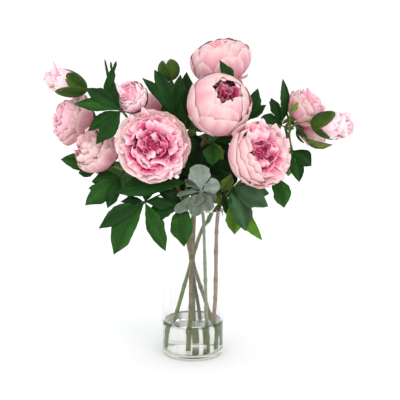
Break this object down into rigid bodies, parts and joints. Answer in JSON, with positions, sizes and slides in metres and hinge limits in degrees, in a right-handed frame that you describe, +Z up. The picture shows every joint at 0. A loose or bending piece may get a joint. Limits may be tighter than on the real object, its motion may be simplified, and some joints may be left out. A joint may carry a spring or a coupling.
{
  "type": "peonies in a vase",
  "caption": "Loose arrangement of pink peonies, buds and lobed green leaves standing in water in a clear straight glass cylinder vase.",
  "frame": {"origin": "centre of the vase's flat underside, on the surface it stands on", "axes": "+Z up along the vase's axis, out of its mouth; -Y is the front, where the two largest open flowers face; +X is the right seen from the front"},
  "size_m": [0.4674, 0.2492, 0.5158],
  "materials": {
    "clear_glass": "gloss",
    "water": "gloss",
    "outer_petals": "matte",
    "inner_petals": "matte",
    "bud_petals": "matte",
    "sepals": "matte",
    "leaves": "satin",
    "brown_stems": "matte",
    "green_stems": "matte",
    "sprig": "matte"
  },
  "bodies": {
    "root": {"bud_centre_petals": "bud_petals", "bud_centre_sepals": "sepals", "bud_green_petals": "bud_petals", "bud_green_sepals": "sepals", "bud_left_petals": "bud_petals", "bud_left_sepals": "sepals", "bud_right_petals": "bud_petals", "bud_right_sepals": "sepals", "glass_vase": "clear_glass", "leaf_at_mouth": "leaves", "leaf_back_far_left": "leaves", "leaf_back_far_right": "leaves", "leaf_back_left": "leaves", "leaf_back_right": "leaves", "leaf_back_rim": "leaves", "leaf_back_top": "leaves", "leaf_behind_bud": "leaves", "leaf_between_front": "leaves", "leaf_bright": "leaves", "leaf_by_bud": "leaves", "leaf_by_middle": "leaves", "leaf_drooping": "leaves", "leaf_far_left": "leaves", "leaf_inner": "leaves", "leaf_low_left": "leaves", "leaf_low_right": "leaves", "leaf_over_rim": "leaves", "leaf_right_drop": "leaves", "leaf_under_middle": "leaves", "leaf_under_right_spray": "leaves", "leaf_upper_left": "leaves", "leaf_upright": "leaves", "peony_back_inner_petals": "inner_petals", "peony_back_outer_petals": "outer_petals", "peony_far_left_inner_petals": "inner_petals", "peony_far_left_outer_petals": "outer_petals", "peony_far_right_inner_petals": "inner_petals", "peony_far_right_outer_petals": "outer_petals", "peony_front_inner_petals": "inner_petals", "peony_front_outer_petals": "outer_petals", "peony_low_left_inner_petals": "inner_petals", "peony_low_left_outer_petals": "outer_petals", "peony_low_right_inner_petals": "inner_petals", "peony_low_right_outer_petals": "outer_petals", "peony_middle_inner_petals": "inner_petals", "peony_middle_outer_petals": "outer_petals", "peony_right_inner_petals": "inner_petals", "peony_right_outer_petals": "outer_petals", "peony_top_inner_petals": "inner_petals", "peony_top_outer_petals": "outer_petals", "sprig_leaves": "sprig", "sprig_stem": "sprig", "stem_far_left": "green_stems", "stem_far_right": "green_stems", "stem_front": "green_stems", "stem_middle": "brown_stems", "stem_right": "brown_stems", "stem_top": "brown_stems", "water": "water"}
  },
  "joints": []
}
